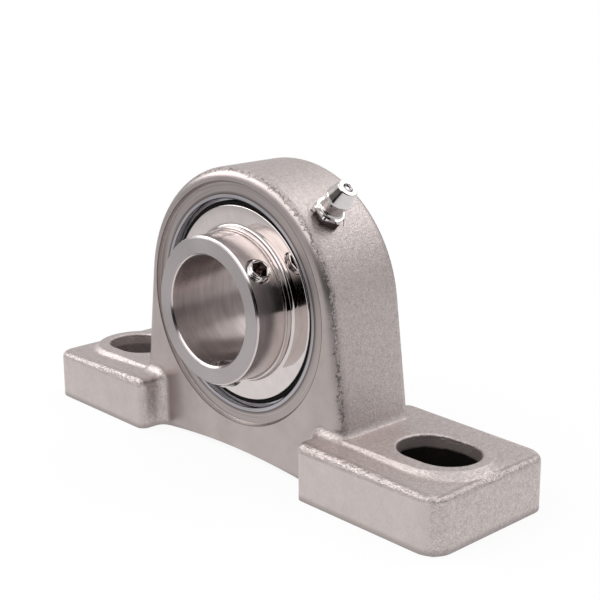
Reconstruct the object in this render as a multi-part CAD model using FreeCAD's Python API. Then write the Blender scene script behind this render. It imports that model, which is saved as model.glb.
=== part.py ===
import FreeCAD, Part
import math
import os

from FreeCAD import Placement, Rotation, Vector

# Pillow block with a ball bearing insert, in millimetres and degrees.
# X runs along the base, Y along the shaft with the locking screws towards -Y, and Z is up.
# The origin is the centre of the base plane, straight below the shaft.

# Housing casting
shaft_height = 42.9
barrel_wall = 6.1
barrel_thickness = 26.0
barrel_side_slope = 7.0
barrel_edge_rounding = 3.3
foot_depth = 42.6
foot_overlap = 4.9
foot_height = 15.25
foot_fall = 1.15
foot_outer_corner = 5.5
foot_inner_corner = 2.5
foot_edge_rounding = 1.8
seam_rounding = 3.2
arch_margin = 2.5
arch_rise = 1.8

# Bolt slots and the raised pads round them
bolt_spacing = 121.0
slot_width = 17.0
slot_length = 21.5
slot_end_wall = 6.1
slot_rim_rounding = 0.6
pad_rise = 0.6
pad_border = 4.2
pad_end_border = 2.95
pad_flare = 1.2
pad_root = 1.0
pad_rim_rounding = 0.6
pad_seam_rounding = 1.2

# Turned recess in both faces of the barrel
recess_depth = 1.1
recess_rim_flat = 0.3
recess_rim_slope = 0.5

# Bearing insert: bore, balls and the walls of the two rings at their raceways
shaft_bore = 30.0
inner_race_wall = 3.21
ball_count = 9
ball_diameter = 9.525
ball_clearance = 0.03
raceway_conformity = 0.52
outer_race_wall = 3.175
seat_clearance = 0.03
loading_clearance = 0.25
inner_shoulder_gap = 2.85
outer_shoulder_gap = 3.2

# Ring widths and chamfers, measured from the plane of the balls
outer_ring_width = 19.0
outer_ring_chamfer = 0.5
inner_ring_front = 22.2
inner_ring_rear = 15.9
inner_ring_bore_chamfer = 0.6
inner_ring_rim_chamfer = 0.6

# Cage of two pressed halves with rivets
cage_width = 3.6
cage_sheet = 0.8
pocket_clearance = 0.1
rivet_diameter = 1.5
rivet_head_diameter = 2.6
rivet_head_height = 0.45
rivet_head_chamfer = 0.3
rivet_fit_clearance = 0.02

# Seals: a steel plate held in a groove, with a rubber lip bonded to it
seal_ledge = 1.3
seal_setback = 1.2
seal_groove_width = 1.1
seal_groove_depth = 0.4
seal_plate_sheet = 0.7
seal_plate_gap = 2.05
seal_rubber_thickness = 0.9
seal_lip_clearance = 0.1
seal_fit_clearance = 0.05

# Flingers: bright sheet discs pressed on the inner ring outside the seals
flinger_standoff = 1.2
flinger_sheet = 0.8
flinger_edge_gap = 0.6
flinger_collar_height = 2.1
flinger_bend = 1.0
flinger_rim_rounding = 0.5
flinger_rim_depth = 1.3

# Grease path through the outer ring
grease_groove_width = 2.2
grease_groove_depth = 0.7
grease_hole_diameter = 1.5

# Locking screws in the inner ring
screw_offset_from_face = 4.7
screw_diameter = 6.0
screw_fit_clearance = 0.04
screw_length = 6.0
screw_tip_gap = 0.1
screw_chamfer = 0.5
screw_cup_diameter = 3.0
screw_cup_depth = 0.8
screw_socket = 3.0
screw_socket_depth = 3.0
first_screw_angle = 39.5
screw_angle_apart = 120.0

# Grease nipple on the upper right of the barrel, measured from its spot face
nipple_angle = 46.0
nipple_offset = 3.5
spot_face_depth = 0.35
spot_face_margin = 0.6
nipple_thread_diameter = 6.0
nipple_thread_setback = 0.65
nipple_fit_clearance = 0.04
nipple_hexagon = 8.0
nipple_hexagon_height = 2.6
nipple_hexagon_turn = 30.0
nipple_hexagon_chamfer = 0.45
nipple_neck_diameter = 5.9
nipple_bead_diameter = 7.4
nipple_bead_height = 6.9
nipple_bead_land = 0.35
nipple_height = 11.2
nipple_tip_diameter = 5.3
nipple_mouth_diameter = 2.6
nipple_mouth_length = 0.9
nipple_chamber_diameter = 3.5
nipple_chamber_floor = 3.4
nipple_bore_diameter = 1.8
nipple_ball_diameter = 3.0
nipple_ball_clearance = 0.03
nipple_spring_wire = 0.35
nipple_spring_diameter = 2.4
nipple_spring_turns = 5

# Radii of the insert, from the bore outwards
bore_radius = shaft_bore / 2
ball_radius = ball_diameter / 2
pitch_radius = bore_radius + inner_race_wall + ball_clearance + ball_radius
ring_radius = pitch_radius + ball_radius + ball_clearance + outer_race_wall
seat_radius = ring_radius + seat_clearance
inner_radius = pitch_radius - inner_shoulder_gap
outer_shoulder = pitch_radius + outer_shoulder_gap
groove_radius = raceway_conformity * ball_diameter
outer_groove_centre = pitch_radius + ball_radius + ball_clearance - groove_radius
inner_groove_centre = pitch_radius - ball_radius - ball_clearance + groove_radius
pocket_radius = ball_radius + pocket_clearance

# Outer ring, seals and flingers
ring_half_width = outer_ring_width / 2
seal_mouth = outer_shoulder + seal_ledge
seal_groove_bottom = seal_mouth + seal_groove_depth
seal_groove_end = ring_half_width - seal_setback
seal_groove_start = seal_groove_end - seal_groove_width
outer_race_edge = math.sqrt(groove_radius ** 2 - (outer_shoulder - outer_groove_centre) ** 2)
grease_groove_offset = (outer_race_edge + seal_groove_start) / 2
flinger_radius = seal_mouth - flinger_edge_gap
flinger_face = ring_half_width + flinger_standoff

# Housing, with the feet reaching from inside the barrel to past the slots
barrel_radius = seat_radius + barrel_wall
foot_inner_end = barrel_radius - foot_overlap
foot_outer_end = bolt_spacing / 2 + slot_length / 2 + slot_end_wall
foot_lowest_top = foot_height - foot_fall
pad_top = foot_height + pad_rise
pad_half_width = slot_width / 2 + pad_border
pad_end_centre = bolt_spacing / 2 + slot_length / 2 + pad_end_border - pad_half_width

# Screws and nipple
screw_radius = screw_diameter / 2 - screw_fit_clearance
screw_offset = inner_ring_front - screw_offset_from_face
screw_angles = [first_screw_angle, first_screw_angle - screw_angle_apart]
spot_face_radius = barrel_radius - spot_face_depth
nipple_thread_length = spot_face_radius - seat_radius - nipple_thread_setback
nipple_mouth_floor = nipple_height - nipple_mouth_length
nipple_ball_radius = nipple_ball_diameter / 2
nipple_seat_reach = math.sqrt(nipple_ball_radius ** 2 - (nipple_mouth_diameter / 2) ** 2)
nipple_ball_centre = nipple_mouth_floor - nipple_seat_reach - nipple_ball_clearance

# How far a cutting shape runs past what it cuts, and how close two edges must lie to be the same
cutter_margin = 5.0
touch = 0.001

up = Vector(0, 0, 1)
along_base = Vector(1, 0, 0)
centre = Vector(0, 0, 0)


def turned(start, *steps):
    """Solid of revolution about Z. A step, in (radius, z), is an end point or an arc's middle and end."""
    edges = []
    here = Vector(start[0], 0, start[1])
    for step in steps:
        points = step if isinstance(step[0], tuple) else (step,)
        points = [Vector(radius, 0, height) for radius, height in points]
        if len(points) == 2:
            edges.append(Part.Arc(here, points[0], points[1]).toShape())
        else:
            edges.append(Part.LineSegment(here, points[0]).toShape())
        here = points[-1]
    first = Vector(start[0], 0, start[1])
    if not here.isEqual(first, touch):
        edges.append(Part.LineSegment(here, first).toShape())
    solid = Part.Face(Part.Wire(edges)).revolve(centre, up, 360)
    if solid.Volume < 0:
        solid.reverse()
    return solid


def hexagonal_bar(across_flats, length):
    """Hexagonal prism on Z from z = 0."""
    corner = across_flats / math.sqrt(3)
    points = []
    for side in range(7):
        turn = side * math.pi / 3
        points.append(Vector(corner * math.cos(turn), corner * math.sin(turn), 0))
    return Part.Face(Part.makePolygon(points)).extrude(Vector(0, 0, length))


def on_shaft(shape):
    """Lay a shape made about Z on the shaft's line, with its +Z end at the locking side."""
    placed = shape.copy()
    lying = Placement(Vector(0, 0, shaft_height), Rotation(along_base, 90))
    placed.Placement = lying.multiply(shape.Placement)
    return placed


def radially(shape, angle, radius, offset):
    """Stand a shape made about Z on a radius of the shaft, z = 0 at that radius, offset towards the front."""
    turn = math.radians(angle)
    foot_point = Vector(radius * math.cos(turn), -offset, shaft_height + radius * math.sin(turn))
    placed = shape.copy()
    placed.Placement = Placement(foot_point, Rotation(Vector(0, 1, 0), 90 - angle)).multiply(shape.Placement)
    return placed


def mirrored(shape, normal):
    """The same shape on the other side of the plane through the origin."""
    return shape.mirror(centre, normal)


def upright_edges(shape, x):
    """Edges that stand straight up at one x."""
    found = []
    for edge in shape.Edges:
        box = edge.BoundBox
        if box.XLength < touch and box.YLength < touch and abs(box.XMin - x) < touch:
            found.append(edge)
    return found


def barrel_side(height):
    """Half the barrel's width at a height on its sloping side."""
    slope = math.radians(barrel_side_slope)
    return (barrel_radius + (shaft_height - height) * math.sin(slope)) / math.cos(slope)


def make_barrel():
    """The upright: a round top, sides that widen towards the feet, and rounded edges on both faces."""
    half = barrel_thickness / 2
    slope = math.radians(barrel_side_slope)
    side_x = barrel_radius * math.cos(slope)
    side_z = shaft_height + barrel_radius * math.sin(slope)
    left = Vector(-side_x, -half, side_z)
    right = Vector(side_x, -half, side_z)
    top = Vector(0, -half, shaft_height + barrel_radius)
    lower_left = Vector(-barrel_side(0), -half, 0)
    lower_right = Vector(barrel_side(0), -half, 0)
    outline = Part.Wire([
        Part.LineSegment(lower_left, left).toShape(),
        Part.Arc(left, top, right).toShape(),
        Part.LineSegment(right, lower_right).toShape(),
        Part.LineSegment(lower_right, lower_left).toShape(),
    ])
    solid = Part.Face(outline).extrude(Vector(0, barrel_thickness, 0))
    rims = [edge for edge in solid.Edges if edge.BoundBox.YLength < touch and edge.BoundBox.ZMax > touch]
    return solid.makeFillet(barrel_edge_rounding, rims)


def make_foot():
    """The right foot: its top falls a little towards the end, and its corners are rounded."""
    side = Part.makePolygon([
        Vector(foot_inner_end, -foot_depth / 2, 0),
        Vector(foot_outer_end, -foot_depth / 2, 0),
        Vector(foot_outer_end, -foot_depth / 2, foot_lowest_top),
        Vector(foot_inner_end, -foot_depth / 2, foot_height),
        Vector(foot_inner_end, -foot_depth / 2, 0),
    ])
    foot = Part.Face(side).extrude(Vector(0, foot_depth, 0))
    foot = foot.makeFillet(foot_outer_corner, upright_edges(foot, foot_outer_end))
    foot = foot.makeFillet(foot_inner_corner, upright_edges(foot, foot_inner_end))
    top_edges = [edge for edge in foot.Edges if edge.BoundBox.ZMin > foot_lowest_top - touch]
    return foot.makeFillet(foot_edge_rounding, top_edges)


def seam_edges(shape):
    """Edges where the right foot meets the barrel."""
    face = barrel_thickness / 2 + touch
    widest = barrel_side(0) + touch
    found = []
    for edge in shape.Edges:
        box = edge.BoundBox
        along = box.XMin > foot_inner_end - touch and box.XMax < widest
        within = box.YMin > -face and box.YMax < face
        if along and within and touch < box.ZMax < foot_height + foot_fall:
            found.append(edge)
    return found


def make_pad():
    """Raised pad round the right slot: sloping sides, and a round outer end."""
    below = foot_lowest_top - pad_root
    rise = pad_top - below
    low_half = pad_half_width + pad_flare * rise
    inside = foot_inner_end + foot_inner_corner
    section = Part.makePolygon([
        Vector(inside, -low_half, below),
        Vector(inside, low_half, below),
        Vector(inside, pad_half_width, pad_top),
        Vector(inside, -pad_half_width, pad_top),
        Vector(inside, -low_half, below),
    ])
    straight = Part.Face(section).extrude(Vector(pad_end_centre - inside, 0, 0))
    round_end = Part.makeCone(low_half, pad_half_width, rise, Vector(pad_end_centre, 0, below), up)
    pad = straight.fuse(round_end).removeSplitter()
    top_edges = [edge for edge in pad.Edges if edge.BoundBox.ZMin > pad_top - touch]
    rim = [edge for edge in top_edges if edge.BoundBox.XMax > inside + touch]
    return pad.makeFillet(pad_rim_rounding, rim)


def pad_seam_edges(shape):
    """Edges where the right pad's side meets the top of the foot."""
    widest = pad_half_width + pad_flare * (pad_top - foot_lowest_top) + touch
    found = []
    for edge in shape.Edges:
        box = edge.BoundBox
        low = box.ZMin > foot_lowest_top - touch and box.ZMax < foot_height + touch
        beside = box.YMax < widest and box.YMin > -widest
        outside = max(abs(box.YMin), abs(box.YMax)) > pad_half_width
        along = box.XLength > touch and box.XMin > foot_inner_end + touch
        if low and beside and outside and along:
            found.append(edge)
    return found


def make_padded_foot(foot):
    """The foot with its pad, rounded where the pad's side runs into the top of the foot."""
    shape = foot.fuse(make_pad()).removeSplitter()
    return shape.makeFillet(pad_seam_rounding, pad_seam_edges(shape))


def slot_prism():
    """The right bolt slot as a solid, from below the base to above the pad."""
    half_width = slot_width / 2
    reach = (slot_length - slot_width) / 2
    low = -cutter_margin
    height = pad_top + 2 * cutter_margin
    middle = Part.makeBox(2 * reach, slot_width, height, Vector(bolt_spacing / 2 - reach, -half_width, low))
    ends = [
        Part.makeCylinder(half_width, height, Vector(bolt_spacing / 2 + side * reach, 0, low), up)
        for side in (-1, 1)
    ]
    return middle.fuse(ends).removeSplitter()


def slot_rim_edges(shape):
    """Edges of the right slot's mouth in the top of the pad."""
    half_width = slot_width / 2 + touch
    start = bolt_spacing / 2 - slot_length / 2 - touch
    end = bolt_spacing / 2 + slot_length / 2 + touch
    found = []
    for edge in shape.Edges:
        box = edge.BoundBox
        flat = box.ZMin > pad_top - touch and box.ZMax < pad_top + touch
        between = box.YMax < half_width and box.YMin > -half_width
        if flat and between and box.XMin > start and box.XMax < end:
            found.append(edge)
    return found


def recess_cutter():
    """The turned recess in the front face, with the sloping cast rim round it."""
    floor_z = barrel_thickness / 2 - recess_depth
    mouth = barrel_radius - barrel_edge_rounding - recess_rim_flat
    return on_shaft(Part.makeCone(mouth - recess_rim_slope, mouth, recess_depth, Vector(0, 0, floor_z), up))


def loading_cutter():
    """Two notches in the rear half of the seat: the insert goes in edge on and is then turned."""
    half_height = ring_half_width + loading_clearance
    wide = seat_radius + loading_clearance
    corner = Vector(-wide, 0, shaft_height - half_height)
    slab = Part.makeBox(2 * wide, barrel_thickness, 2 * half_height, corner)
    rear = Part.makeCylinder(wide, barrel_thickness, Vector(0, 0, shaft_height), Vector(0, 1, 0))
    return slab.common(rear)


def grease_entry_cutter():
    """Spot face and tapped hole for the nipple, through the wall into the seat."""
    spot_radius = nipple_hexagon / math.sqrt(3) + spot_face_margin
    spot = Part.makeCylinder(spot_radius, cutter_margin, centre, up)
    depth = spot_face_radius - seat_radius + cutter_margin
    hole = Part.makeCylinder(nipple_thread_diameter / 2, depth, Vector(0, 0, -depth), up)
    return radially(spot.fuse(hole), nipple_angle, spot_face_radius, nipple_offset)


def arch_cutter():
    """Shallow arch under the middle of the base, so that it stands on its two feet."""
    half_span = foot_inner_end - arch_margin
    radius = (half_span ** 2 + arch_rise ** 2) / (2 * arch_rise)
    start = Vector(0, -foot_depth, arch_rise - radius)
    return Part.makeCylinder(radius, 2 * foot_depth, start, Vector(0, 1, 0))


def make_housing():
    """One casting: barrel, two slotted feet with pads, recessed faces and a spherical seat."""
    foot = make_foot()
    shape = make_barrel().fuse(foot).removeSplitter()
    shape = shape.makeFillet(seam_rounding, seam_edges(shape))
    shape = shape.fuse(make_padded_foot(foot)).removeSplitter()
    shape = shape.cut(slot_prism())
    shape = shape.makeFillet(slot_rim_rounding, slot_rim_edges(shape))
    height = shaft_height + barrel_radius + cutter_margin
    right_side = Part.makeBox(2 * foot_outer_end, 2 * foot_depth, height, Vector(0, -foot_depth, 0))
    right_half = shape.common(right_side)
    shape = right_half.fuse(mirrored(right_half, along_base)).removeSplitter()
    recess = recess_cutter()
    cutters = [
        Part.makeSphere(seat_radius, Vector(0, 0, shaft_height)),
        recess,
        mirrored(recess, Vector(0, 1, 0)),
        loading_cutter(),
        grease_entry_cutter(),
        arch_cutter(),
    ]
    return shape.cut(cutters).Solids[0]


def make_outer_ring():
    """Ring with a spherical outside, a raceway, seal grooves, a grease groove and two grease holes."""
    half = ring_half_width
    race_bottom = outer_groove_centre + groove_radius
    edge_z = half - outer_ring_chamfer
    edge_radius = math.sqrt(ring_radius ** 2 - edge_z ** 2)
    ring = turned(
        (seal_mouth, -half),
        (edge_radius - outer_ring_chamfer, -half),
        (edge_radius, -edge_z),
        ((ring_radius, 0), (edge_radius, edge_z)),
        (edge_radius - outer_ring_chamfer, half),
        (seal_mouth, half),
        (seal_mouth, seal_groove_end),
        (seal_groove_bottom, seal_groove_end),
        (seal_groove_bottom, seal_groove_start),
        (outer_shoulder, seal_groove_start),
        (outer_shoulder, outer_race_edge),
        ((race_bottom, 0), (outer_shoulder, -outer_race_edge)),
        (outer_shoulder, -seal_groove_start),
        (seal_groove_bottom, -seal_groove_start),
        (seal_groove_bottom, -seal_groove_end),
        (seal_mouth, -seal_groove_end),
    )
    groove_half = grease_groove_width / 2
    groove_floor = math.sqrt(ring_radius ** 2 - grease_groove_offset ** 2) - grease_groove_depth
    groove = turned(
        (groove_floor, grease_groove_offset - groove_half),
        (ring_radius + cutter_margin, grease_groove_offset - groove_half),
        (ring_radius + cutter_margin, grease_groove_offset + groove_half),
        (groove_floor, grease_groove_offset + groove_half),
    )
    ring = on_shaft(ring.cut(groove))
    drill = Part.makeCylinder(grease_hole_diameter / 2, ring_radius - outer_shoulder + 2 * cutter_margin)
    for angle in (nipple_angle, nipple_angle + 180):
        ring = ring.cut(radially(drill, angle, outer_shoulder - cutter_margin, grease_groove_offset))
    return ring


def make_inner_ring():
    """Wide inner ring with a raceway, chamfered ends and two tapped holes for the locking screws."""
    race_edge = math.sqrt(groove_radius ** 2 - (inner_groove_centre - inner_radius) ** 2)
    race_bottom = inner_groove_centre - groove_radius
    bore_chamfer = inner_ring_bore_chamfer
    rim_chamfer = inner_ring_rim_chamfer
    ring = on_shaft(turned(
        (bore_radius, -inner_ring_rear + bore_chamfer),
        (bore_radius + bore_chamfer, -inner_ring_rear),
        (inner_radius - rim_chamfer, -inner_ring_rear),
        (inner_radius, -inner_ring_rear + rim_chamfer),
        (inner_radius, -race_edge),
        ((race_bottom, 0), (inner_radius, race_edge)),
        (inner_radius, inner_ring_front - rim_chamfer),
        (inner_radius - rim_chamfer, inner_ring_front),
        (bore_radius + bore_chamfer, inner_ring_front),
        (bore_radius, inner_ring_front - bore_chamfer),
    ))
    tapped_hole = Part.makeCylinder(screw_diameter / 2, inner_radius)
    for angle in screw_angles:
        ring = ring.cut(radially(tapped_hole, angle, bore_radius / 2, screw_offset))
    return ring


def ring_spots(first):
    """Even places round the pitch circle as (angle, point), the first one that share of a step from X."""
    spots = []
    for index in range(ball_count):
        angle = 360 * (index + first) / ball_count
        turn = math.radians(angle)
        spots.append((angle, Vector(pitch_radius * math.cos(turn), pitch_radius * math.sin(turn), 0)))
    return spots


def across_ring(radius, angle):
    """Cylinder from the ring's centre outwards through one pocket."""
    turn = math.radians(angle)
    return Part.makeCylinder(radius, 2 * pitch_radius, centre, Vector(math.cos(turn), math.sin(turn), 0))


def make_cage_half():
    """Front half of the pressed cage: a flat ring that bows out over each ball."""
    inside = pitch_radius - cage_width / 2
    outside = pitch_radius + cage_width / 2
    shell_radius = pocket_radius + cage_sheet
    flat_ring = Part.makeCylinder(outside, cage_sheet).cut(Part.makeCylinder(inside, cage_sheet))
    tall_ring = Part.makeCylinder(outside, shell_radius).cut(Part.makeCylinder(inside, shell_radius))
    shells = Part.makeCompound([across_ring(shell_radius, angle) for angle, spot in ring_spots(0)])
    pockets = [across_ring(pocket_radius, angle) for angle, spot in ring_spots(0)]
    holes = [Part.makeCylinder(rivet_diameter / 2, cage_sheet, spot) for angle, spot in ring_spots(0.5)]
    return flat_ring.fuse(tall_ring.common(shells)).cut(pockets).cut(holes).removeSplitter()


def make_rivet():
    """Rivet through both cage halves, with a low chamfered head on each side."""
    shank = rivet_diameter / 2 - rivet_fit_clearance
    head = rivet_head_diameter / 2
    top = cage_sheet + rivet_head_height
    return turned(
        (0, -top),
        (head - rivet_head_chamfer, -top),
        (head, rivet_head_chamfer - top),
        (head, -cage_sheet),
        (shank, -cage_sheet),
        (shank, cage_sheet),
        (head, cage_sheet),
        (head, top - rivet_head_chamfer),
        (head - rivet_head_chamfer, top),
        (0, top),
    )


def make_seal_plate():
    """Front steel seal plate, its edge held in the outer ring's groove."""
    outside = seal_groove_bottom - seal_fit_clearance
    inside = inner_radius + seal_plate_gap
    start = seal_groove_start + seal_fit_clearance
    return turned(
        (inside, start),
        (outside, start),
        (outside, start + seal_plate_sheet),
        (inside, start + seal_plate_sheet),
    )


def make_seal_rubber():
    """Front rubber seal: bonded to the plate, with a thin lip that runs on the inner ring."""
    base = seal_groove_start + seal_fit_clearance + seal_plate_sheet
    top = base + seal_rubber_thickness
    lip = inner_radius + seal_lip_clearance
    thin = seal_rubber_thickness / 3
    return turned(
        (lip, base),
        (seal_mouth - seal_fit_clearance, base),
        (seal_mouth - seal_fit_clearance, top),
        (inner_radius + seal_plate_gap, top),
        (lip + thin, base + 2 * thin),
        (lip, base + thin),
    )


def make_flinger():
    """Front flinger: a collar on the inner ring, a smooth bend, a flat disc and a turned-in rim."""
    collar_outside = inner_radius + flinger_sheet
    collar_end = flinger_face + flinger_collar_height
    collar_lip = flinger_sheet / 4
    back = flinger_face - flinger_sheet
    round_share = 1 - math.sqrt(0.5)
    bend = flinger_bend * round_share
    rim = flinger_rim_rounding * round_share
    return turned(
        (inner_radius, back + flinger_bend),
        (inner_radius, collar_end - collar_lip),
        (inner_radius + collar_lip, collar_end),
        (collar_outside - collar_lip, collar_end),
        (collar_outside, collar_end - collar_lip),
        (collar_outside, flinger_face + flinger_bend),
        ((collar_outside + bend, flinger_face + bend), (collar_outside + flinger_bend, flinger_face)),
        (flinger_radius - flinger_rim_rounding, flinger_face),
        ((flinger_radius - rim, flinger_face - rim), (flinger_radius, flinger_face - flinger_rim_rounding)),
        (flinger_radius, flinger_face - flinger_rim_depth),
        (flinger_radius - flinger_sheet, flinger_face - flinger_rim_depth),
        (flinger_radius - flinger_sheet, back),
        (inner_radius + flinger_bend, back),
    )


def make_set_screw():
    """Locking screw on Z, from its cup point at z = 0 to its socket end."""
    cup = screw_cup_diameter / 2
    edge = screw_radius - screw_chamfer
    body = turned(
        (0, screw_cup_depth),
        (cup, 0),
        (edge, 0),
        (screw_radius, screw_chamfer),
        (screw_radius, screw_length - screw_chamfer),
        (edge, screw_length),
        (0, screw_length),
    )
    socket = hexagonal_bar(screw_socket, screw_socket_depth)
    socket.translate(Vector(0, 0, screw_length - screw_socket_depth))
    return body.cut(socket)


def make_nipple_body():
    """Nipple body on Z, with its hexagon standing on z = 0 and a passage from the thread to the mouth."""
    thread = nipple_thread_diameter / 2 - nipple_fit_clearance
    neck = nipple_neck_diameter / 2
    bead = nipple_bead_diameter / 2
    corner = nipple_hexagon / math.sqrt(3)
    hexagon_top = nipple_hexagon_height
    hexagon_limit = turned(
        (0, 0),
        (corner, 0),
        (corner, hexagon_top - nipple_hexagon_chamfer),
        (nipple_hexagon / 2, hexagon_top),
        (0, hexagon_top),
    )
    hexagon = hexagonal_bar(nipple_hexagon, hexagon_top).common(hexagon_limit)
    hexagon.rotate(centre, up, nipple_hexagon_turn)
    shank = Part.makeCylinder(thread, nipple_thread_length, Vector(0, 0, -nipple_thread_length), up)
    head = turned(
        (0, hexagon_top),
        (neck, hexagon_top),
        (neck, nipple_bead_height - (bead - neck)),
        (bead, nipple_bead_height),
        (bead, nipple_bead_height + nipple_bead_land),
        (nipple_tip_diameter / 2, nipple_height),
        (0, nipple_height),
    )
    mouth = nipple_mouth_diameter / 2
    chamber = nipple_chamber_diameter / 2
    passage = nipple_bore_diameter / 2
    hollow = turned(
        (0, -nipple_thread_length - cutter_margin),
        (passage, -nipple_thread_length - cutter_margin),
        (passage, nipple_chamber_floor),
        (chamber, nipple_chamber_floor),
        (chamber, nipple_mouth_floor - (chamber - mouth)),
        (mouth, nipple_mouth_floor),
        (mouth, nipple_height + cutter_margin),
        (0, nipple_height + cutter_margin),
    )
    return shank.fuse([hexagon, head]).removeSplitter().cut(hollow)


def make_nipple_spring():
    """Coil spring between the chamber's floor and the ball."""
    wire_radius = nipple_spring_wire / 2
    coil_radius = (nipple_spring_diameter - nipple_spring_wire) / 2
    contact = math.sqrt((nipple_ball_radius + wire_radius) ** 2 - coil_radius ** 2)
    bottom = nipple_chamber_floor + wire_radius
    top = nipple_ball_centre - contact - nipple_ball_clearance
    pitch = (top - bottom) / nipple_spring_turns
    helix = Part.makeHelix(pitch, top - bottom, coil_radius)
    heading = Vector(0, 2 * math.pi * coil_radius, pitch)
    section = Part.Wire(Part.makeCircle(wire_radius, Vector(coil_radius, 0, 0), heading))
    spring = Part.Wire(helix.Edges).makePipeShell([section], True, True)
    spring.translate(Vector(0, 0, bottom))
    return spring


def make_nodes():
    """Every piece in its place, by name."""
    cage_half = make_cage_half()
    seal_plate = make_seal_plate()
    seal_rubber = make_seal_rubber()
    flinger = make_flinger()
    rivet = make_rivet()
    rivets = Part.makeCompound([on_shaft(rivet.translated(spot)) for angle, spot in ring_spots(0.5)])
    nodes = {
        "housing": make_housing(),
        "outer_ring": make_outer_ring(),
        "inner_ring": make_inner_ring(),
        "cage_half_front": on_shaft(cage_half),
        "cage_half_rear": on_shaft(mirrored(cage_half, up)),
        "cage_rivets": rivets,
        "seal_plate_front": on_shaft(seal_plate),
        "seal_plate_rear": on_shaft(mirrored(seal_plate, up)),
        "seal_front": on_shaft(seal_rubber),
        "seal_rear": on_shaft(mirrored(seal_rubber, up)),
        "flinger_front": on_shaft(flinger),
        "flinger_rear": on_shaft(mirrored(flinger, up)),
    }
    for number, (angle, spot) in enumerate(ring_spots(0), 1):
        nodes["ball_%d" % number] = on_shaft(Part.makeSphere(ball_radius, spot))
    for number, angle in enumerate(screw_angles, 1):
        tip_radius = bore_radius + screw_tip_gap
        nodes["set_screw_%d" % number] = radially(make_set_screw(), angle, tip_radius, screw_offset)
    nipple = [
        ("nipple_body", make_nipple_body()),
        ("nipple_ball", Part.makeSphere(nipple_ball_radius, Vector(0, 0, nipple_ball_centre))),
        ("nipple_spring", make_nipple_spring()),
    ]
    for name, shape in nipple:
        nodes[name] = radially(shape, nipple_angle, spot_face_radius, nipple_offset)
    return nodes


os.makedirs("parts", exist_ok=True)
for node_name, node_shape in make_nodes().items():
    node_shape.exportStep("parts/%s.step" % node_name)
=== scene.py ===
import math
from types import SimpleNamespace

import bmesh
import bpy
from mathutils import Matrix, Vector


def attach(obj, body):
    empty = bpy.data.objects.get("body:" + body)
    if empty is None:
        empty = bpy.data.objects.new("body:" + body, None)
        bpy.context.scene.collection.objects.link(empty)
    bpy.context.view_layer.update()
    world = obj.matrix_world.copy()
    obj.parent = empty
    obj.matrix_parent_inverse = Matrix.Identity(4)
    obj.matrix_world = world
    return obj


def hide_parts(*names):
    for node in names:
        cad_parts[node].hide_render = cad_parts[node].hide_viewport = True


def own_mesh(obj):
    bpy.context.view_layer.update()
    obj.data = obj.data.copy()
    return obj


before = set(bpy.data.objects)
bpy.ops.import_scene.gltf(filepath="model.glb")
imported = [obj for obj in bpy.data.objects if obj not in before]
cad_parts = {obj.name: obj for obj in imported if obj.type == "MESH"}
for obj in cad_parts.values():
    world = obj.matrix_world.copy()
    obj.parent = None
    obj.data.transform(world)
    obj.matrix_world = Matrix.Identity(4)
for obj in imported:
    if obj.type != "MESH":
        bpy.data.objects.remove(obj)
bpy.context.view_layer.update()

# Sizes are in millimetres, which MM takes to the frame's metres, and angles are in degrees.
# A piece that meets a solid of the frame repeats the solid's sizes.
MM = 0.001
SHAFT_HEIGHT = 42.9 * MM

BORE_RADIUS = 15.0
RING_RADIUS = 20.15
RING_FRONT = 22.2
RING_REAR = 15.9
RACE_CENTRE = 23.163
RACE_RADIUS = 4.953
RACE_EDGE_ANGLE = 52.57

SCREW_ANGLES = (39.5, -80.5)
SCREW_OFFSET = 17.5
SCREW_BASE = 15.1
SCREW_LENGTH = 6.0

NIPPLE_ANGLE = 46.0
NIPPLE_OFFSET = 3.5
SPOT_FACE_RADIUS = 36.75
CHAMBER_FLOOR = 3.4

SLOT_CENTRE = 60.5
FOOT_END = 77.35


# Meshes

def on_shaft():
    """Lays a shape made about Z on the shaft's line, +Z towards the locking side."""
    return Matrix.Translation((0, 0, SHAFT_HEIGHT)) @ Matrix.Rotation(math.radians(90), 4, "X")


def on_radius(angle, radius, offset):
    """Stands a shape made about Z on a radius of the shaft."""
    turn = math.radians(angle)
    place = Vector((radius * math.cos(turn) * MM, -offset * MM,
                    SHAFT_HEIGHT + radius * math.sin(turn) * MM))
    return Matrix.Translation(place) @ Matrix.Rotation(math.radians(90 - angle), 4, "Y")


def arc(cx, cz, radius, start, end, count):
    """Points of an arc in (radius, z)."""
    points = []
    for i in range(count + 1):
        turn = math.radians(start + (end - start) * i / count)
        points.append((cx + radius * math.cos(turn), cz + radius * math.sin(turn)))
    return points


def new_object(name, bm, place=None):
    mesh = bpy.data.meshes.new(name)
    bmesh.ops.recalc_face_normals(bm, faces=bm.faces)
    bm.to_mesh(mesh)
    bm.free()
    if place is not None:
        mesh.transform(place)
    obj = bpy.data.objects.new(name, mesh)
    bpy.context.scene.collection.objects.link(obj)
    return obj


def smooth(obj, angle=35.0):
    """Smooth shading with the edges sharper than the angle kept crisp."""
    mesh = obj.data
    bm = bmesh.new()
    bm.from_mesh(mesh)
    limit = math.radians(angle)
    for edge in bm.edges:
        edge.smooth = len(edge.link_faces) == 2 and edge.calc_face_angle(0.0) < limit
    for face in bm.faces:
        face.smooth = True
    bm.to_mesh(mesh)
    bm.free()
    return obj


def circle(bm, radii, height):
    """Evenly spaced vertices round Z, each at its own radius."""
    points = []
    for i, radius in enumerate(radii):
        turn = 2 * math.pi * i / len(radii)
        points.append(bm.verts.new((radius * math.cos(turn) * MM, radius * math.sin(turn) * MM,
                                    height * MM)))
    return points


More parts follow.
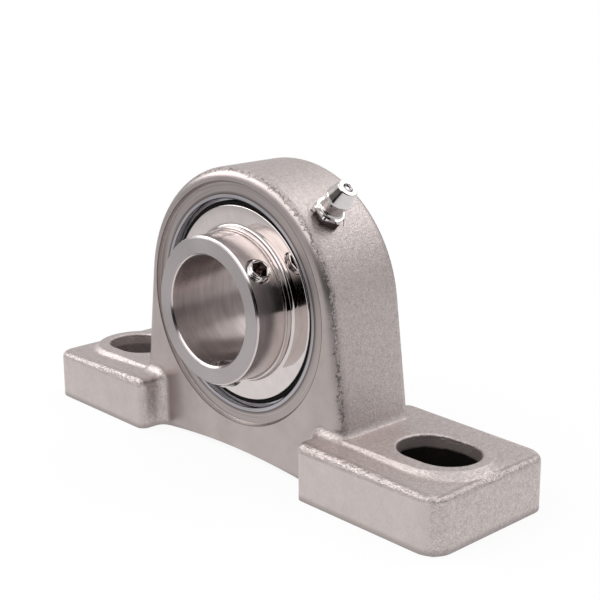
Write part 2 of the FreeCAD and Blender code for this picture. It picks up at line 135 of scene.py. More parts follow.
def bridge(bm, low, high):
    """Faces between two circles of vertices, one of which may be a single vertex on the axis."""
    count = max(len(low), len(high))
    for i in range(count):
        j = (i + 1) % count
        if len(low) == 1:
            bm.faces.new((low[0], high[j], high[i]))
        elif len(high) == 1:
            bm.faces.new((low[i], low[j], high[0]))
        else:
            bm.faces.new((low[i], low[j], high[j], high[i]))


def skin(bm, rings):
    """Closed surface over circles of vertices that follow each other."""
    for low, high in zip(rings, rings[1:]):
        bridge(bm, low, high)
    bm.faces.new(rings[0])
    bm.faces.new(rings[-1])


def lathe(name, profile, segments, place, closed=True):
    """A profile of (radius, z) points turned about Z. An open one starts and ends on the axis."""
    bm = bmesh.new()
    rings = []
    for radius, height in profile:
        if radius == 0:
            rings.append([bm.verts.new((0, 0, height * MM))])
        else:
            rings.append(circle(bm, [radius] * segments, height))
    pairs = list(zip(rings, rings[1:]))
    if closed:
        pairs.append((rings[-1], rings[0]))
    for low, high in pairs:
        bridge(bm, low, high)
    return smooth(new_object(name, bm, place))


def thread_form(count, pitches):
    """Shares of a thread's depth round Z, at a height in pitches: 0 on the crest, 1 at the root."""
    phases = [(pitches - i / count) % 1.0 for i in range(count)]
    return [1.0 - abs(2.0 * phase - 1.0) for phase in phases]


def hexagon(count, flats, start):
    """Radii round a hexagon. The first is at a corner for a start of 0, at a flat for 30."""
    turns = [2 * math.pi * i / count + math.radians(start) for i in range(count)]
    return [flats / 2 / math.cos(turn % (math.pi / 3) - math.pi / 6) for turn in turns]


def threaded_screw(name, place):
    """Set screw on Z: a real thread, chamfered ends and a hexagon socket with a drilled bottom."""
    radius, pitch, thread_depth, chamfer = 2.96, 0.75, 0.36, 0.3
    mouth_flats, socket_flats, mouth_depth, socket_depth = 4.45, 4.05, 0.22, 3.4
    drill_radius, drill_depth, tip_radius = 1.8, 4.1, 0.15
    steepness, crest_flat = 1.35, 0.12
    count, rows = 72, 84
    bm = bmesh.new()
    rings = []
    for row in range(rows + 1):
        height = SCREW_LENGTH * row / rows
        limit = radius - chamfer + min(height, SCREW_LENGTH - height)
        # Flanks made steeper than the plain form, which leaves a flat on each crest and root
        flanks = [steepness * share - crest_flat for share in thread_form(count, height / pitch)]
        shares = [max(0.0, min(1.0, flank)) for flank in flanks]
        rings.append(circle(bm, [min(radius - thread_depth * s, limit) for s in shares], height))
    for depth, flats in ((0.0, mouth_flats), (mouth_depth, socket_flats),
                         (socket_depth, socket_flats)):
        rings.append(circle(bm, hexagon(count, flats, 30), SCREW_LENGTH - depth))
    for depth, drilled in ((socket_depth, drill_radius), (drill_depth, tip_radius)):
        rings.append(circle(bm, [drilled] * count, SCREW_LENGTH - depth))
    skin(bm, rings)
    return smooth(new_object(name, bm, place), angle=40)


def nipple(name, place):
    """Grease nipple on Z: chamfered hexagon, neck, bead and cone, with an open mouth."""
    flats, hexagon_height, chamfer, cap_radius = 8.0, 2.6, 0.5, 1.0
    corner = flats / math.sqrt(3)
    neck_and_bead = [(3.35, hexagon_height), (3.08, 2.72), (2.95, 2.95), (2.95, 5.4), (3.0, 5.6),
                     (3.15, 5.8), (3.45, 6.4), (3.65, 6.75), (3.7, 6.95), (3.68, 7.15), (3.6, 7.3)]
    cone = [(2.72, 10.9), (2.62, 11.1), (2.48, 11.2)]
    mouth = [(1.42, 11.2), (1.3, 11.08), (1.3, 10.3)]
    chamber = [(1.75, 9.85), (1.75, CHAMBER_FLOOR)]
    count = 144
    bm = bmesh.new()
    rings = [circle(bm, [cap_radius] * count, 0.0)]
    for height, limit in ((0.0, corner), (hexagon_height - chamfer, corner),
                          (hexagon_height, flats / 2)):
        radii = [min(radius, limit) for radius in hexagon(count, flats, 0)]
        rings.append(circle(bm, radii, height))
    for radius, height in neck_and_bead + cone + mouth + chamber:
        rings.append(circle(bm, [radius] * count, height))
    skin(bm, rings)
    return smooth(new_object(name, bm, place), angle=28)


def shank(name, place):
    """Threaded shank of the nipple, below its hexagon."""
    length, radius, pitch, thread_depth = 5.0, 2.95, 1.0, 0.4
    count, rows = 48, 59
    bm = bmesh.new()
    rings = []
    for row in range(rows + 1):
        height = -length * row / rows
        shares = thread_form(count, height / pitch)
        rings.append(circle(bm, [radius - thread_depth * share for share in shares], height))
    skin(bm, rings)
    return smooth(new_object(name, bm, place), angle=40)


def spring(name, place):
    """Coil of round wire about Z, from the chamber's floor up to the ball."""
    coil_radius, wire_radius, turns, top = 1.025, 0.175, 5, 8.167
    bottom = CHAMBER_FLOOR + wire_radius
    steps, sides = turns * 36, 10
    pitch = (top - bottom) / turns
    slope = math.atan2(pitch, 2 * math.pi * coil_radius)
    bm = bmesh.new()
    rings = []
    for k in range(steps + 1):
        turn = 2 * math.pi * turns * k / steps
        out = Vector((math.cos(turn), math.sin(turn), 0))
        along = Vector((-math.sin(turn) * math.cos(slope), math.cos(turn) * math.cos(slope),
                        math.sin(slope)))
        centre = out * coil_radius + Vector((0, 0, bottom + pitch * turns * k / steps))
        side = along.cross(out)
        points = []
        for i in range(sides):
            around = 2 * math.pi * i / sides
            offset = wire_radius * (math.cos(around) * out + math.sin(around) * side)
            points.append(bm.verts.new((centre + offset) * MM))
        rings.append(points)
    skin(bm, rings)
    return smooth(new_object(name, bm, place), angle=50)


def cut_with(obj, cutters):
    """Takes the cutters out of a mesh, and leaves nothing of them in the scene."""
    for cutter in cutters:
        change = obj.modifiers.new("cut", "BOOLEAN")
        change.operation = "DIFFERENCE"
        change.solver = "EXACT"
        change.object = cutter
    bpy.context.view_layer.update()
    shape = obj.evaluated_get(bpy.context.evaluated_depsgraph_get())
    mesh = bpy.data.meshes.new_from_object(shape)
    obj.modifiers.clear()
    obj.data = mesh
    for cutter in cutters:
        bpy.data.objects.remove(cutter)


def inner_ring(name):
    """Inner ring with its raceway, chamfers and two tapped holes with countersunk mouths."""
    chamfer = 0.6
    inner, outer = BORE_RADIUS + chamfer, RING_RADIUS - chamfer
    front, rear = RING_FRONT - chamfer, chamfer - RING_REAR
    points = [(BORE_RADIUS, rear), (inner, -RING_REAR), (outer, -RING_REAR), (RING_RADIUS, rear)]
    points += arc(RACE_CENTRE, 0.0, RACE_RADIUS, 180 + RACE_EDGE_ANGLE, 180 - RACE_EDGE_ANGLE, 16)
    points += [(RING_RADIUS, front), (outer, RING_FRONT), (inner, RING_FRONT), (BORE_RADIUS, front)]
    ring = lathe(name, points, 288, on_shaft())
    # Tapped hole with its countersink, in (radius, z) from the screw's base
    hole = [(0, -6.0), (3.0, -6.0), (3.0, 4.1), (4.3, 5.4), (4.3, 8.0), (0, 8.0)]
    cutters = []
    for angle in SCREW_ANGLES:
        cutters.append(lathe("cutter", hole, 72, on_radius(angle, SCREW_BASE, SCREW_OFFSET), closed=False))
    cut_with(ring, cutters)
    set_round_normals(ring.data)
    return ring


def set_round_normals(mesh):
    """True normals of a cylinder outside and in the bore, which the cut holes would disturb."""
    nearly = 0.02
    normals = []
    for face in mesh.polygons:
        places = [mesh.vertices[v].co for v in face.vertices]
        radii = [math.hypot(p.x, p.z - SHAFT_HEIGHT) / MM for p in places]
        outward = [Vector((p.x, 0, p.z - SHAFT_HEIGHT)).normalized() for p in places]
        face.use_smooth = True
        if min(radii) > RING_RADIUS - nearly:
            normals += outward
        elif max(radii) < BORE_RADIUS + nearly / 2:
            normals += [-normal for normal in outward]
        else:
            normals += [face.normal] * len(places)
    mesh.normals_split_custom_set(normals)


def flinger_profile():
    """Collar, bend, disc and turned-in rim of a flinger, in (radius, z)."""
    points = [(20.16, 10.9), (20.16, 12.62), (20.22, 12.74), (20.36, 12.8), (20.76, 12.8),
              (20.9, 12.74), (20.95, 12.6), (20.95, 11.75)]
    points += arc(21.95, 11.7, 1.0, 180, 270, 14)
    points += [(22.3, 10.7), (24.3, 10.7)]
    points += arc(26.4, 10.2, 0.5, 90, 0, 8)
    points += [(26.9, 9.4), (26.1, 9.4), (26.1, 9.9), (21.15, 9.9)]
    points += arc(21.16, 10.9, 1.0, 270, 180, 8)[1:-1]
    return points


# Materials

class Nodes:
    """A material's node tree, built step by step."""

    SOCKETS = {"metallic": "Metallic", "roughness": "Roughness", "specular": "Specular IOR Level",
               "stretch": "Anisotropic", "stretch_turn": "Anisotropic Rotation"}

    def __init__(self, name):
        self.material = bpy.data.materials.new(name)
        self.material.use_nodes = True
        self.tree = self.material.node_tree
        self.tree.nodes.clear()
        self.shader = self.add("ShaderNodeBsdfPrincipled")
        self.output = self.add("ShaderNodeOutputMaterial")
        self.link(self.shader.outputs["BSDF"], self.output.inputs["Surface"])
        self.place = self.add("ShaderNodeTexCoord").outputs["Object"]

    def add(self, kind, **values):
        node = self.tree.nodes.new(kind)
        for key, value in values.items():
            setattr(node, key, value)
        return node

    def link(self, a, b):
        self.tree.links.new(a, b)

    def put(self, value, socket):
        """A number stays on the socket, and an output is linked to it."""
        if isinstance(value, (int, float)):
            socket.default_value = value
        else:
            self.link(value, socket)

    def set(self, **values):
        for key, value in values.items():
            self.shader.inputs[self.SOCKETS[key]].default_value = value
        return self

    def color(self, value):
        self.link(value, self.shader.inputs["Base Color"])

    def rough(self, value):
        self.link(value, self.shader.inputs["Roughness"])

    # Arithmetic

    def math(self, operation, a, b=None):
        node = self.add("ShaderNodeMath", operation=operation)
        self.put(a, node.inputs[0])
        if b is not None:
            self.put(b, node.inputs[1])
        return node.outputs["Value"]

    def times(self, *values):
        result = values[0]
        for value in values[1:]:
            result = self.math("MULTIPLY", result, value)
        return result

    def plus(self, a, b):
        return self.math("ADD", a, b)

    def less(self, a, b):
        return self.math("SUBTRACT", a, b)

    def most(self, a, b):
        return self.math("MAXIMUM", a, b)

    def rest(self, share):
        """What is left of 1."""
        return self.less(1.0, share)

    def length(self, a, b):
        return self.math("SQRT", self.plus(self.times(a, a), self.times(b, b)))

    def span(self, value, low, high, from_low=0.3, from_high=0.7, kind="LINEAR"):
        """Maps a range, by default a noise texture's usual one, to the range from low to high."""
        node = self.add("ShaderNodeMapRange", interpolation_type=kind)
        node.inputs["From Min"].default_value = from_low
        node.inputs["From Max"].default_value = from_high
        self.put(low, node.inputs["To Min"])
        self.put(high, node.inputs["To Max"])
        self.link(value, node.inputs["Value"])
        return node.outputs["Result"]

    def step(self, value, start, end):
        """0 below start, 1 above end, smooth between them."""
        return self.span(value, 0.0, 1.0, start, end, "SMOOTHSTEP")

    def rise(self, value, start, end):
        """A step between two places in millimetres."""
        return self.step(value, start * MM, end * MM)

    def fall(self, value, start, end):
        """1 before the first place and 0 past the second, in millimetres."""
        return self.rest(self.rise(value, start, end))

    # Places, in metres

    def axis(self, which):
        node = self.add("ShaderNodeSeparateXYZ")
        self.link(self.place, node.inputs["Vector"])
        return node.outputs[which]

    def ragged(self, place, noise, reach):
        """A place shifted by noise, so that the edges drawn from it come out ragged."""
        return self.plus(self.times(self.less(noise, 0.5), reach * MM), place)

    def off_middle(self, which):
        """Distance from the middle plane that an axis crosses."""
        return self.math("ABSOLUTE", self.axis(which))

    def above_shaft(self):
        return self.less(self.axis("Z"), SHAFT_HEIGHT)

    def shaft_distance(self):
        """Distance from the shaft's line."""
        return self.length(self.axis("X"), self.above_shaft())

    def beside_radius(self, angle, radius, offset):
        """Place beside a piece that on_radius stands up: along it, across it and along the shaft."""
        turn = math.radians(angle)
        x, y, z = self.axis("X"), self.plus(self.axis("Y"), offset * MM), self.above_shaft()
        out = self.plus(self.times(x, math.cos(turn)), self.times(z, math.sin(turn)))
        across = self.less(self.times(z, math.cos(turn)), self.times(x, math.sin(turn)))
        return self.less(out, radius * MM), across, y

    def vector(self, x, y, z):
        node = self.add("ShaderNodeCombineXYZ")
        for name, value in (("X", x), ("Y", y), ("Z", z)):
            self.put(value, node.inputs[name])
        return node.outputs["Vector"]

    def round_shaft(self, value, share):
        """Place for a texture that runs round the shaft: fast with value, slow with the angle."""
        distance = self.shaft_distance()
        x = self.times(self.math("DIVIDE", self.axis("X"), distance), share)
        z = self.times(self.math("DIVIDE", self.above_shaft(), distance), share)
        return self.vector(value, x, z)

    # Textures

    def noise(self, scale, detail=4.0, roughness=0.55, vector=None):
        node = self.add("ShaderNodeTexNoise")
        node.inputs["Scale"].default_value = scale
        node.inputs["Detail"].default_value = detail
        node.inputs["Roughness"].default_value = roughness
        self.link(vector or self.place, node.inputs["Vector"])
        return node.outputs["Fac"]

    def ramp(self, value, stops):
        node = self.add("ShaderNodeValToRGB")
        while len(node.color_ramp.elements) < len(stops):
            node.color_ramp.elements.new(0.5)
        for element, (position, color) in zip(node.color_ramp.elements, stops):
            element.position = position
            element.color = (*color, 1.0)
        self.link(value, node.inputs["Fac"])
        return node.outputs["Color"]

    def blend(self, first, share, second):
        """Share of the first value, and the rest from the second."""
        return self.plus(self.times(first, share), self.times(second, 1.0 - share))

    def mix(self, factor, a, b):
        """The second colour where the factor is 1."""
        node = self.add("ShaderNodeMix", data_type="RGBA")
        self.link(factor, node.inputs[0])
        for socket, value in ((node.inputs[6], a), (node.inputs[7], b)):
            if isinstance(value, tuple):
                socket.default_value = (*value, 1.0)
            else:
                self.link(value, socket)
        return node.outputs[2]

    def bump(self, height, distance, normal=None, strength=1.0):
        node = self.add("ShaderNodeBump")
        node.inputs["Distance"].default_value = distance * MM
        node.inputs["Strength"].default_value = strength
        self.link(height, node.inputs["Height"])
        if normal is not None:
            self.link(normal, node.inputs["Normal"])
        self.link(node.outputs["Normal"], self.shader.inputs["Normal"])
        return node.outputs["Normal"]

    def rounded(self, radius):
        """Normal with each sharp edge rounded to a radius."""
        node = self.add("ShaderNodeBevel")
        node.inputs["Radius"].default_value = radius * MM
        return node.outputs["Normal"]


def shade(color, share):
    return tuple(min(1.0, c * share) for c in color)


def cast_places(m):
    """Where the parts of the casting's surface are, each as a factor from 0 to 1."""
    depth, wide, z = m.off_middle("Y"), m.off_middle("X"), m.axis("Z")
    distance = m.shaft_distance()
    low = m.fall(z, 16.2, 18.5)
    foot = m.times(low, m.rise(wide, 32.5, 34.5))
    ragged_depth = m.ragged(depth, m.noise(900, 4, 0.75), 4.4)
    face = m.times(m.rise(ragged_depth, 11.65, 11.95), m.fall(depth, 13.15, 13.25), m.rest(foot))
    recess = m.fall(distance, 33.5, 33.6)
    seat = m.fall(distance, 29.7, 29.8)
    smoothed = m.most(face, recess)
    top = m.times(m.rise(z, 12.2, 13.6), low)
    side = m.times(m.rise(depth, 20.0, 20.8), m.rest(top))
    rim_side = m.times(m.rise(depth, 18.8, 20.2), m.rise(wide, 31.0, 33.0))
    rim_end = m.rise(wide, FOOT_END - 2.15, FOOT_END - 0.95)
    ragged_z = m.ragged(z, m.noise(160, 3), 1.6)
    slot = m.times(m.fall(m.math("ABSOLUTE", m.less(wide, SLOT_CENTRE * MM)), 11.1, 11.3),
                   m.fall(depth, 8.8, 9.0))
    fleck_band = m.times(m.rise(ragged_depth, 10.8, 11.6), m.fall(ragged_depth, 11.7, 12.1))
    return SimpleNamespace(
        face=face,
        recess=recess,
        seat=seat,
        smoothed=smoothed,
        blasted=m.times(m.rest(smoothed), m.rest(m.times(side, 0.7))),
        # A dark band round the seat's mouth: painted shade on the recess wall
        seat_shade_band=m.times(m.rise(distance, 29.7, 29.8), m.fall(distance, 29.9, 30.8)),
        # The seat's inner wall gets a light colour: painted light on a wall that lies in shade
        seat_wall_painted_light=m.times(seat, m.rise(depth, 9.2, 9.4), m.fall(depth, 11.78, 11.86)),
        # A near-black line at the mouth's inner edge: painted shadow of the gap beside the flinger
        seat_edge_shadow=m.times(m.fall(distance, 28.8, 28.95), m.rise(depth, 11.80, 11.88)),
        # A thin dark line in the colour at the recess's rim
        recess_line=m.times(m.rise(distance, 33.35, 33.42), m.fall(distance, 33.6, 33.67),
                            m.rise(depth, 11.0, 11.2)),
        flecks=m.times(fleck_band, m.rest(foot), m.step(m.noise(1500, 2, 0.6), 0.48, 0.56),
                       m.rest(recess)),
        # The slots' walls get a lighter colour: painted light where the walls are lit from above
        slot=m.times(slot, m.fall(z, 14.8, 15.2)),
        slot_shadow=m.times(slot, m.fall(ragged_z, 12.1, 12.9),
                            m.span(m.axis("X"), 0.45, 0.97, -0.01, 0.01)),
        # Darker towards the floor: painted contact shade along the bottom
        bottom=m.fall(z, 0.3, 2.0),
        rim=m.times(top, m.most(rim_side, rim_end)),
    )


def cast_color(m, at, grain):
    """Colour of each part of the casting, with painted light and painted shade in the seat, the slots and
    along the bottom.
    """
    cast, ground, turned = (0.565, 0.502, 0.488), (0.43, 0.378, 0.368), (0.385, 0.34, 0.33)
    seat_dark, seat_light, seat_wall_painted_light = (0.33, 0.315, 0.335), (0.48, 0.46, 0.485), (0.74, 0.72, 0.745)
    seat_shade_band, seat_edge_shadow = (0.15, 0.125, 0.12), (0.03, 0.028, 0.028)
    dark_line_and_fleck, shadow = (0.10, 0.085, 0.08), (0.03, 0.025, 0.023)
    mottle = m.blend(m.noise(70, 3), 0.6, m.noise(22, 2))
    blotch = m.noise(240, 3)
    lines = m.noise(1.0, 3, 0.6, m.round_shaft(m.times(m.shaft_distance(), 2500.0), 1.5))
    grainy = m.ramp(m.blend(grain.speckle, 0.6, grain.grit),
                    [(0.36, shade(cast, 0.74)), (0.45, shade(cast, 0.93)),
                     (0.55, shade(cast, 1.04)), (0.66, shade(cast, 1.26))])
    calm = m.ramp(m.blend(mottle, 0.6, blotch),
                  [(0.35, shade(cast, 0.9)), (0.65, shade(cast, 1.08))])
    ground_color = m.ramp(m.blend(mottle, 0.7, blotch),
                          [(0.35, shade(ground, 0.88)), (0.65, shade(ground, 1.1))])
    turned_color = m.ramp(lines, [(0.35, shade(turned, 0.85)), (0.65, shade(turned, 1.12))])
    seat_color = m.ramp(lines, [(0.35, seat_dark), (0.65, seat_light)])
    color = m.mix(at.blasted, calm, grainy)
    for factor, other in (
        (at.face, ground_color),
        (at.recess, turned_color),
        (at.seat, seat_color),
        # Painted light on the seat's inner wall
        (at.seat_wall_painted_light, seat_wall_painted_light),
        # Painted shade in a band round the seat's mouth
        (at.seat_shade_band, seat_shade_band),
        # Painted shadow at the mouth's inner edge
        (at.seat_edge_shadow, seat_edge_shadow),
        (m.times(at.recess_line, 0.75), dark_line_and_fleck),
        (m.times(at.flecks, 0.7), dark_line_and_fleck),
        # Painted light on the slots' walls
        (at.slot, shade(cast, 1.25)),
        (at.slot_shadow, shadow),
        # Painted contact shade along the bottom
        (m.times(at.bottom, 0.5), shade(cast, 0.35)),
    ):
        color = m.mix(factor, color, other)
    m.color(color)


def cast_steel():
    """Shot-blasted casting with ground faces on the barrel and a turned seat and recess."""
    m = Nodes("cast_steel").set(metallic=1.0)
    at = cast_places(m)
    grain = SimpleNamespace(speckle=m.noise(2500, 2, 0.6), grit=m.noise(900, 4, 0.65))
    cast_color(m, at, grain)
    m.rough(m.plus(m.span(at.smoothed, 0.46, 0.33, 0.0, 1.0), m.times(at.seat_wall_painted_light, 0.35)))
    lumps = m.times(m.noise(560, 3, 0.6), m.plus(m.times(at.rim, 2.4), 0.25), at.blasted)
    normal = m.bump(lumps, 0.3, m.rounded(0.4))
    normal = m.bump(m.times(m.blend(grain.speckle, 0.5, grain.grit), at.blasted), 0.22, normal)
    m.bump(at.smoothed, 0.18, normal)
    return m.material


def turned_steel(name, front, outside, bore):
    """Turned and ground ring: end faces, outside and bore each have their own lay."""
    rough_front, rough_outside, rough_bore = 0.28, 0.17, 0.3
    m = Nodes(name).set(metallic=1.0, stretch=0.95, stretch_turn=0.25)
    around_shaft = m.add("ShaderNodeTangent", direction_type="RADIAL", axis="Y")
    m.link(around_shaft.outputs["Tangent"], m.shader.inputs["Tangent"])
    distance, y = m.shaft_distance(), m.axis("Y")
    at_end = m.most(m.rise(m.times(y, -1.0), RING_FRONT - 0.3, RING_FRONT - 0.25),
                    m.rise(y, RING_REAR - 0.3, RING_REAR - 0.25))
    in_bore = m.fall(distance, BORE_RADIUS + 0.05, BORE_RADIUS + 0.2)
    around = m.noise(1.0, 3, 0.6, m.round_shaft(m.times(y, 6500.0), 2.5))
    streak = m.noise(1.0, 2, 0.5, m.round_shaft(m.times(y, 420.0), 1.5))
    lay = m.noise(1.0, 2, 0.6, m.round_shaft(m.times(distance, 5200.0), 2.5))
    cloud = m.noise(90, 3)
    mixed = m.plus(m.times(around, 0.45), m.plus(m.times(streak, 0.35), m.times(cloud, 0.2)))
    outside_color = m.ramp(mixed, [(0.38, shade(outside, 0.86)), (0.62, shade(outside, 1.1))])
    bore_color = m.ramp(mixed, [(0.38, shade(bore, 0.78)), (0.62, shade(bore, 1.15))])
    front_color = m.ramp(m.blend(lay, 0.5, cloud),
                         [(0.36, shade(front, 0.94)), (0.64, shade(front, 1.05))])
    m.color(m.mix(at_end, m.mix(in_bore, outside_color, bore_color), front_color))
    rough = m.span(in_bore, rough_outside, rough_bore, 0.0, 1.0)
    m.rough(m.times(m.span(at_end, rough, rough_front, 0.0, 1.0), m.span(cloud, 0.85, 1.2)))
    normal = m.bump(m.times(around, m.rest(at_end)), 0.003, m.rounded(0.12))
    m.bump(m.times(lay, at_end), 0.003, normal)
    return m.material


def ring_steel(name, color, roughness):
    """Ground face with fine rings round the shaft's line."""
    m = Nodes(name).set(metallic=1.0)
    lay = m.noise(1.0, 3, 0.7, m.round_shaft(m.times(m.shaft_distance(), 3800.0), 2.0))
    mixed = m.blend(lay, 0.6, m.noise(120, 3))
    m.color(m.ramp(mixed, [(0.36, shade(color, 0.84)), (0.64, shade(color, 1.12))]))
    m.rough(m.span(mixed, roughness * 0.85, roughness * 1.2))
    m.bump(lay, 0.003, m.rounded(0.15))
    return m.material


def bright_metal(name, color, roughness):
    """Polished metal with a faint cloud."""
    m = Nodes(name).set(metallic=1.0)
    cloud = m.noise(300, 4)
    m.color(m.ramp(cloud, [(0.35, shade(color, 0.93)), (0.65, color)]))
    m.rough(m.span(cloud, roughness * 0.7, roughness * 1.4))
    m.bump(m.noise(2500, 2), 0.001, m.rounded(0.08))
    return m.material


def screw_metal(number, angle):
    """Bright rim and thread round a socket, with painted shade inside the socket."""
    m = Nodes("screw_steel_%d" % number).set(metallic=1.0)
    along, across, y = m.beside_radius(angle, SCREW_BASE, SCREW_OFFSET)
    # Inside of the socket, darkened as painted shade
    socket = m.times(m.fall(m.length(across, y), 2.40, 2.50),
                     m.fall(along, SCREW_LENGTH - 0.25, SCREW_LENGTH - 0.1), m.rise(along, 1.0, 1.2))
    cloud = m.noise(300, 4)
    steel = m.ramp(cloud, [(0.35, (0.66, 0.63, 0.62)), (0.65, (0.74, 0.71, 0.70))])
    m.color(m.mix(socket, steel, (0.34, 0.295, 0.28)))
    m.rough(m.span(cloud, 0.07, 0.14))
    m.bump(m.noise(2500, 2), 0.001, m.rounded(0.08))
    return m.material


def nipple_metal():
    """Bright cone and neck above a hexagon, with dark reflections painted on two of the hexagon's flats
    and as a streak on the cone.
    """
    m = Nodes("nipple_steel").set(metallic=1.0)
    along, across, y = m.beside_radius(NIPPLE_ANGLE, SPOT_FACE_RADIUS, NIPPLE_OFFSET)
    # The turn round the nipple in radians, 0 towards the locking side
    facing = m.math("ARCTAN2", m.times(across, -1.0), m.times(y, -1.0))
    # Two flats and a streak on the cone get a dark colour: painted dark reflection
    flats_painted_dark = m.times(m.fall(along, 1.9, 2.1), m.fall(across, 0.8, 1.4))
    streak = m.times(m.rise(along, 7.3, 7.5), m.step(facing, -0.72, -0.60),
                     m.rest(m.step(facing, 0.20, 0.32)), m.fall(along, 10.8, 10.9))
    cloud = m.noise(300, 4)
    steel = m.ramp(cloud, [(0.35, (0.60, 0.575, 0.565)), (0.65, (0.68, 0.65, 0.64))])
    # The dark colour of the painted reflection
    dark = m.ramp(cloud, [(0.35, (0.05, 0.042, 0.04)), (0.65, (0.12, 0.105, 0.10))])
    m.color(m.mix(m.most(flats_painted_dark, m.times(streak, 0.9)), steel, dark))
    m.rough(m.span(cloud, 0.09, 0.16))
    m.bump(m.noise(2500, 2), 0.001, m.rounded(0.1))
    return m.material


def rubber():
    m = Nodes("seal_rubber").set(specular=0.15)
    grain = m.noise(2500, 3)
    m.color(m.ramp(grain, [(0.35, (0.004, 0.004, 0.004)), (0.7, (0.009, 0.009, 0.009))]))
    m.rough(m.span(grain, 0.7, 0.9))
    m.bump(grain, 0.01, strength=0.6)
    return m.material


CAST = cast_steel()
RING = ring_steel("ring_steel", (0.44, 0.425, 0.45), 0.24)
GROUND = turned_steel("ground_steel", front=(0.40, 0.365, 0.37), outside=(0.63, 0.572, 0.557),
                      bore=(0.49, 0.43, 0.42))
MIRROR = bright_metal("mirror_steel", (0.645, 0.59, 0.575), 0.045)
PLATED = bright_metal("plated_steel", (0.66, 0.63, 0.62), 0.1)
NIPPLE = nipple_metal()
BALL = bright_metal("ball_steel", (0.78, 0.78, 0.80), 0.05)
SHEET = ring_steel("sheet_steel", (0.56, 0.56, 0.57), 0.3)
RUBBER = rubber()

finishes = {"housing": CAST, "outer_ring": RING, "inner_ring": GROUND,
            "flinger_front": MIRROR, "flinger_rear": MIRROR,
            "seal_front": RUBBER, "seal_rear": RUBBER,
            "set_screw_1": PLATED, "set_screw_2": PLATED,
            "nipple_body": NIPPLE, "nipple_ball": BALL}
for name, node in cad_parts.items():
    material = finishes.get(name, BALL if name.startswith("ball_") else SHEET)
    node.data.materials.clear()
    node.data.materials.append(material)


# Pieces that stand for a node, with the detail that the node leaves out

def dress(obj, material, body, node):
    obj.data.materials.append(material)
    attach(obj, body)
    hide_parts(node)
    return obj


profile = flinger_profile()
rear = [(radius, -height) for radius, height in profile]
dress(lathe("flinger_disc_front", profile, 256, on_shaft()),
      MIRROR, "insert_inner", "flinger_front")
dress(lathe("flinger_disc_rear", rear, 256, on_shaft()),
      MIRROR, "insert_inner", "flinger_rear")
lip = [(26.97, 7.96), (26.97, 10.1), (27.03, 10.22), (27.2, 10.27), (27.8, 10.22), (27.95, 10.1),
       (27.95, 9.56), (27.48, 9.53), (27.45, 9.45), (27.45, 7.96)]
dress(lathe("seal_lip_front", lip, 256, on_shaft()),
      RUBBER, "insert_outer", "seal_front")
dress(inner_ring("ring_with_lock_holes"), GROUND, "insert_inner", "inner_ring")
for number, angle in enumerate(SCREW_ANGLES, 1):
    screw = threaded_screw("locking_screw_%d" % number, on_radius(angle, SCREW_BASE, SCREW_OFFSET))
    dress(screw, screw_metal(number, angle), "set_screw_%d" % number, "set_screw_%d" % number)

place = on_radius(NIPPLE_ANGLE, SPOT_FACE_RADIUS, NIPPLE_OFFSET)
dress(nipple("nipple_head", place), NIPPLE, "housing", "nipple_body")
thread = shank("nipple_shank", place)
thread.data.materials.append(NIPPLE)
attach(thread, "housing")
# The coil is 4.94 long, and pressing the ball in by 0.8 keeps 0.838 of that
coil = dress(spring("nipple_coil", place), SHEET, "housing", "nipple_spring")
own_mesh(coil)


# Stage, light and camera, in metres

def floor_material():
    """White to the camera; to metal a glow, with painted light brightest round the object; a little of the
    object's shadow; and a painted shadow beneath the feet.
    """
    m = Nodes("floor").set(roughness=0.9)
    paths = m.add("ShaderNodeLightPath")
    wide, deep = m.off_middle("X"), m.off_middle("Y")
    # A dark colour and no glow beneath the feet: painted shadow
    shadow_under_feet = m.times(m.rise(wide, 34.0, 36.0), m.fall(wide, 74.5, 76.5), m.fall(deep, 19.5, 20.5))
    m.color(m.mix(shadow_under_feet, (0.86, 0.86, 0.86), (0.16, 0.15, 0.145)))
    away = m.length(m.axis("X"), m.axis("Y"))
    # What metal sees of the floor glows brightest round the object: painted light
    painted_light_pool = m.add("ShaderNodeEmission")
    m.link(m.span(away, 1.0, 0.62, 0.12, 0.55), painted_light_pool.inputs["Strength"])
    white = m.add("ShaderNodeEmission")
    glow = m.add("ShaderNodeMixShader")
    m.link(paths.outputs["Is Camera Ray"], glow.inputs["Fac"])
    m.link(painted_light_pool.outputs["Emission"], glow.inputs[1])
    m.link(white.outputs["Emission"], glow.inputs[2])
    seen = m.most(m.most(paths.outputs["Is Camera Ray"], paths.outputs["Is Glossy Ray"]),
                  paths.outputs["Is Transmission Ray"])
    mix = m.add("ShaderNodeMixShader")
    m.link(m.times(seen, m.rest(shadow_under_feet), m.span(away, 0.9, 1.0, 0.12, 0.35)), mix.inputs["Fac"])
    m.link(m.shader.outputs["BSDF"], mix.inputs[1])
    m.link(glow.outputs["Shader"], mix.inputs[2])
    m.link(mix.outputs["Shader"], m.output.inputs["Surface"])
    return m.material


def card_material():
    """Black card with a soft top edge."""
    m = Nodes("card")
    m.tree.nodes.remove(m.shader)
    black = m.add("ShaderNodeEmission")
    black.inputs["Strength"].default_value = 0.0
    clear = m.add("ShaderNodeBsdfTransparent")
    mix = m.add("ShaderNodeMixShader")
    m.link(m.step(m.axis("Y"), 0.12, 0.46), mix.inputs["Fac"])
    m.link(black.outputs["Emission"], mix.inputs[1])
    m.link(clear.outputs["BSDF"], mix.inputs[2])
    m.link(mix.outputs["Shader"], m.output.inputs["Surface"])
    return m.material


def make_floor():
    bm = bmesh.new()
    bmesh.ops.create_circle(bm, cap_ends=True, segments=96, radius=4.0)
    floor = new_object("floor", bm)
    floor.location.z = -0.1 * MM
    floor.data.materials.append(floor_material())


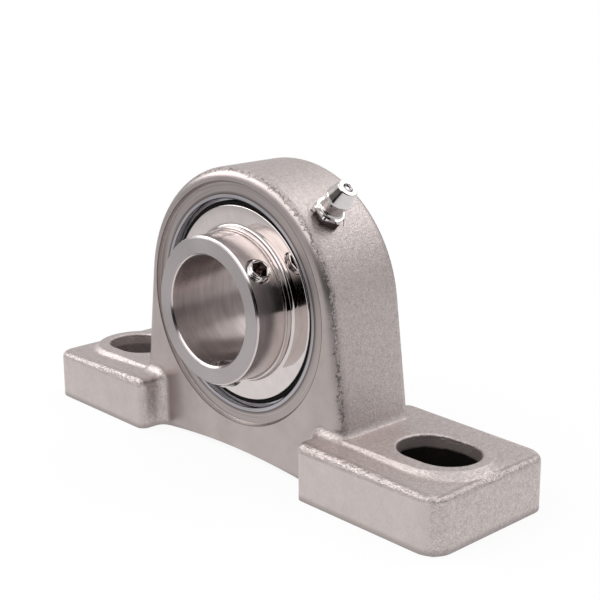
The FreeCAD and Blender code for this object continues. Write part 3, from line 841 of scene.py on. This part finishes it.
def make_card(name, azimuth, distance, width, height):
    """A dark card that stands on the floor behind the camera, seen only in reflections."""
    bm = bmesh.new()
    bmesh.ops.create_grid(bm, x_segments=1, y_segments=1, size=0.5)
    obj = new_object(name, bm)
    turn = math.radians(azimuth)
    obj.scale = (width, height, 1)
    obj.location = (distance * math.sin(turn), -distance * math.cos(turn), height / 2)
    obj.rotation_euler = (math.radians(90), 0, turn)
    obj.data.materials.append(card_material())
    obj.visible_camera = False
    obj.visible_diffuse = False
    obj.visible_shadow = False


def make_world():
    """Pure white to the camera, and a dome that brightens upwards to every other ray."""
    horizon, zenith = 0.55, 0.88
    world = bpy.data.worlds.new("studio")
    bpy.context.scene.world = world
    world.use_nodes = True
    tree = world.node_tree
    background = tree.nodes["Background"]
    background.inputs["Color"].default_value = (1, 1, 1, 1)
    direction = tree.nodes.new("ShaderNodeSeparateXYZ")
    coordinates = tree.nodes.new("ShaderNodeTexCoord")
    tree.links.new(coordinates.outputs["Generated"], direction.inputs["Vector"])
    dome = tree.nodes.new("ShaderNodeMapRange")
    dome.inputs["To Min"].default_value = horizon
    dome.inputs["To Max"].default_value = zenith
    tree.links.new(direction.outputs["Z"], dome.inputs["Value"])
    paths = tree.nodes.new("ShaderNodeLightPath")
    level = tree.nodes.new("ShaderNodeMapRange")
    level.inputs["To Max"].default_value = 1.0
    tree.links.new(paths.outputs["Is Camera Ray"], level.inputs["Value"])
    tree.links.new(dome.outputs["Result"], level.inputs["To Min"])
    tree.links.new(level.outputs["Result"], background.inputs["Strength"])


def make_lamp(name, place, size, power):
    """Area lamp that faces the object's middle, with its power in watts."""
    target = Vector((0, 0, 0.04))
    data = bpy.data.lights.new(name, "AREA")
    data.shape = "RECTANGLE"
    data.size, data.size_y = size
    data.energy = power
    obj = bpy.data.objects.new(name, data)
    obj.location = place
    obj.rotation_euler = (target - Vector(place)).to_track_quat("-Z", "Y").to_euler()
    bpy.context.scene.collection.objects.link(obj)


def make_camera():
    """The camera that was fitted to the photo's edges. Focal length and centre are in pixels."""
    azimuth, elevation, roll = math.radians(51.84), math.radians(14.17), math.radians(-1.71)
    distance, target = 0.3579, Vector((-0.03848, 0.0, 0.04041))
    image, focal, centre_x, centre_y = 600, 1190.2, 181.5, 280.3
    sensor = 36.0
    back = Vector((math.sin(azimuth) * math.cos(elevation), -math.cos(azimuth) * math.cos(elevation),
                   math.sin(elevation)))
    level = (-back).cross(Vector((0, 0, 1))).normalized()
    upright = level.cross(-back)
    right = math.cos(roll) * level + math.sin(roll) * upright
    up = math.cos(roll) * upright - math.sin(roll) * level
    data = bpy.data.cameras.new("camera")
    camera = bpy.data.objects.new("camera", data)
    bpy.context.scene.collection.objects.link(camera)
    bpy.context.scene.camera = camera
    camera.matrix_world = (Matrix.Translation(target + back * distance)
                           @ Matrix((right, up, back)).transposed().to_4x4())
    data.sensor_width = sensor
    data.sensor_fit = "HORIZONTAL"
    data.lens = focal / image * sensor
    data.shift_x = (image / 2 - centre_x) / image
    data.shift_y = (centre_y - image / 2) / image
    data.clip_start = 0.01
    data.clip_end = 50


make_floor()
make_world()
make_lamp("top", (0.2, 0.55, 0.75), (0.7, 0.5), 1.75)
make_lamp("front", (-0.08, -0.55, 0.66), (1.1, 0.42), 2.7)
make_lamp("left", (-0.75, -0.35, 0.55), (0.5, 0.5), 2.4)
make_card("card_behind_camera", 50, 0.45, 0.95, 0.36)
make_camera()

bpy.context.scene.view_settings.view_transform = "Standard"
